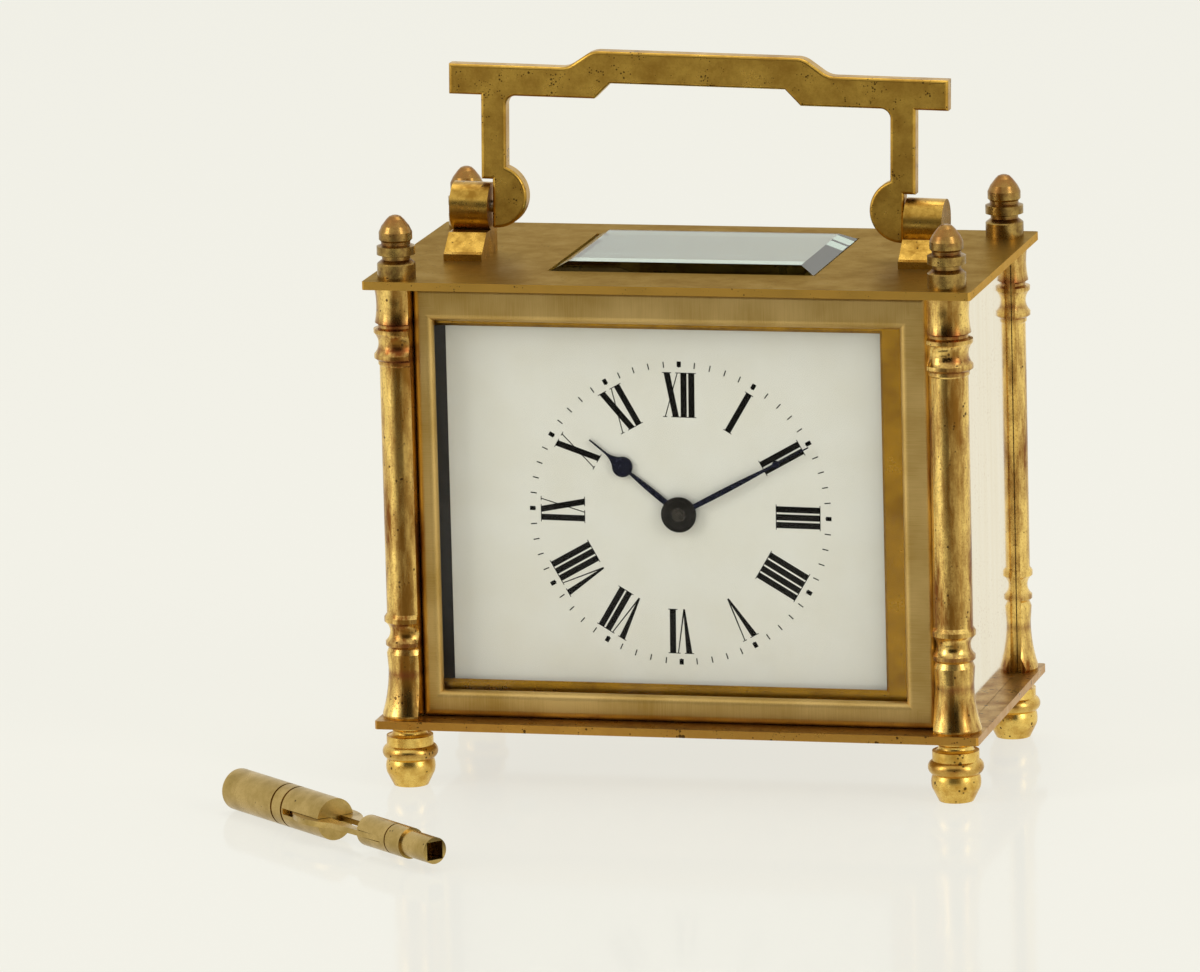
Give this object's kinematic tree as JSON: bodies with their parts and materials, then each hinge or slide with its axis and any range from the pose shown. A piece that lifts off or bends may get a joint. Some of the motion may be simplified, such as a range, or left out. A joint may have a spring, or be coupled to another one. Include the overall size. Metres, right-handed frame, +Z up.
{
  "type": "table clock",
  "caption": "Wide brass carriage clock on turned columns with a folding handle, enamel dial with two hands, glazed rear door, geared movement and a separate winding key.",
  "frame": {"origin": "on the table, midway between the four feet", "axes": "+X to the right of the dial, -Y the front, +Z up"},
  "size_m": [0.1326, 0.1246, 0.1294],
  "materials": {
    "gilt_brass": "polished cast and turned brass with worn gilding and small pits",
    "satin_brass": "brushed brass",
    "sheet_brass": "polished pale sheet brass with fine specks",
    "movement_brass": "lacquered clock brass",
    "aged_brass": "aged, darkened brass",
    "enamel": "fired white enamel on a copper plate, gloss",
    "glass": "clear bevelled glass",
    "steel": "bright steel",
    "blued_steel": "dark blued steel",
    "dark_steel": "blackened steel with a bright pin end"
  },
  "bodies": {
    "case": {"bottom_plate": "gilt_brass", "top_plate": "gilt_brass", "column_front_left": "gilt_brass", "column_front_right": "gilt_brass", "column_rear_left": "gilt_brass", "column_rear_right": "gilt_brass", "finials": "gilt_brass", "feet": "gilt_brass", "handle_bracket_left": "gilt_brass", "handle_bracket_right": "gilt_brass", "mask": "gilt_brass", "glass_keeper": "gilt_brass", "side_panel_left": "sheet_brass", "side_panel_right": "sheet_brass", "front_frame": "satin_brass", "front_glass": "glass", "top_glass": "glass", "dial": "enamel", "mask_screws": "steel", "roof_screws": "steel", "door_hinge_pins": "steel", "handle_pins": "steel", "movement_screws": "steel", "click_screw": "steel", "click_spring": "blued_steel", "hairspring": "blued_steel", "movement_front_plate": "movement_brass", "movement_rear_plate": "movement_brass", "movement_pillars": "movement_brass", "escape_foot": "movement_brass", "platform": "movement_brass", "lever_bridge": "movement_brass", "balance_cock": "movement_brass", "regulator_cap": "movement_brass", "key_body": "aged_brass", "key_wing": "aged_brass", "key_neck": "aged_brass"},
    "door": {"door_frame": "satin_brass", "door_glass": "glass", "door_knob": "gilt_brass"},
    "handle": {"handle": "gilt_brass"},
    "barrel": {"barrel": "movement_brass", "mainspring": "blued_steel"},
    "winding": {"winding_arbor": "steel", "ratchet_wheel": "steel"},
    "click": {"click": "steel"},
    "second": {"second_wheel": "movement_brass"},
    "centre": {"centre_wheel": "movement_brass"},
    "third": {"third_wheel": "movement_brass"},
    "contrate": {"contrate_wheel": "movement_brass"},
    "escape": {"escape_wheel": "movement_brass"},
    "lever": {"pallet_lever": "steel"},
    "balance": {"balance": "movement_brass"},
    "regulator": {"regulator": "steel"},
    "motion": {"minute_wheel": "movement_brass"},
    "hours": {"hour_wheel": "movement_brass", "hour_hand": "blued_steel"},
    "minutes": {"hand_arbor": "steel", "minute_hand": "blued_steel", "hand_collet": "dark_steel"}
  },
  "joints": [
    {"name": "door_hinge", "type": "hinge", "parent": "case", "child": "door", "pos_m": [-0.0452, 0.0259, 0.05165], "axis": [0, 0, 1], "range_deg": [0, 95]},
    {"name": "handle_fold", "type": "hinge", "parent": "case", "child": "handle", "pos_m": [-0.00055, 0.0002, 0.1], "axis": [0.9998, 0, -0.0209], "range_deg": [-100, 100]},
    {"name": "winding_turn", "type": "hinge", "parent": "case", "child": "winding", "pos_m": [-0.02095, 0.0161, 0.0385], "axis": [0, 1, 0], "continuous": true},
    {"name": "click_lift", "type": "hinge", "parent": "case", "child": "click", "pos_m": [-0.01649, 0.0119, 0.04689], "axis": [0, 1, 0], "range_deg": [0, 10], "stiffness_Nm_per_rad": 0.002, "springref_deg": -5.73},
    {"name": "third_turn", "type": "hinge", "parent": "case", "child": "third", "pos_m": [0.01297, -0.0017, 0.04993], "axis": [0, 1, 0], "continuous": true},
    {"name": "centre_turn", "type": "hinge", "parent": "case", "child": "centre", "pos_m": [-0.00035, -0.0017, 0.0496], "axis": [0, 1, 0], "continuous": true},
    {"name": "second_turn", "type": "hinge", "parent": "case", "child": "second", "pos_m": [0.00191, -0.0017, 0.03295], "axis": [0, 1, 0], "continuous": true},
    {"name": "barrel_turn", "type": "hinge", "parent": "case", "child": "barrel", "pos_m": [-0.02095, -0.0017, 0.0385], "axis": [0, 1, 0], "continuous": true},
    {"name": "contrate_turn", "type": "hinge", "parent": "case", "child": "contrate", "pos_m": [0.0075, -0.0017, 0.0605], "axis": [0, 1, 0], "continuous": true},
    {"name": "escape_turn", "type": "hinge", "parent": "case", "child": "escape", "pos_m": [0.0075, 0.0005, 0.07315], "axis": [0, 0, 1], "continuous": true},
    {"name": "minute_hand_turn", "type": "hinge", "parent": "case", "child": "minutes", "pos_m": [-0.00035, -0.0145, 0.0496], "axis": [0, 1, 0], "continuous": true},
    {"name": "minute_wheel_turn", "type": "hinge", "parent": "case", "child": "motion", "pos_m": [0.00609, -0.0145, 0.0442], "axis": [0, 1, 0], "continuous": true},
    {"name": "hour_hand_turn", "type": "hinge", "parent": "case", "child": "hours", "pos_m": [-0.00035, -0.0145, 0.0496], "axis": [0, 1, 0], "continuous": true},
    {"name": "lever_swing", "type": "hinge", "parent": "case", "child": "lever", "pos_m": [0.0033, 0.0005, 0.07315], "axis": [0, 0, 1], "range_deg": [-5, 5]},
    {"name": "balance_swing", "type": "hinge", "parent": "case", "child": "balance", "pos_m": [-0.0015, 0.0005, 0.07315], "axis": [0, 0, 1], "range_deg": [-270, 270], "stiffness_Nm_per_rad": 0.000003},
    {"name": "regulator_shift", "type": "hinge", "parent": "case", "child": "regulator", "pos_m": [-0.0015, 0.0005, 0.08275], "axis": [0, 0, 1], "range_deg": [-20, 20]}
  ],
  "couplings": [
    {"joint": "centre_turn", "follows": "third_turn", "ratio": -0.125},
    {"joint": "second_turn", "follows": "third_turn", "ratio": 0.017857},
    {"joint": "barrel_turn", "follows": "third_turn", "ratio": -0.0029762},
    {"joint": "contrate_turn", "follows": "third_turn", "ratio": -7.5},
    {"joint": "escape_turn", "follows": "third_turn", "ratio": 75},
    {"joint": "minute_wheel_turn", "follows": "minute_hand_turn", "ratio": -0.33333},
    {"joint": "hour_hand_turn", "follows": "minute_hand_turn", "ratio": 0.083333}
  ]
}
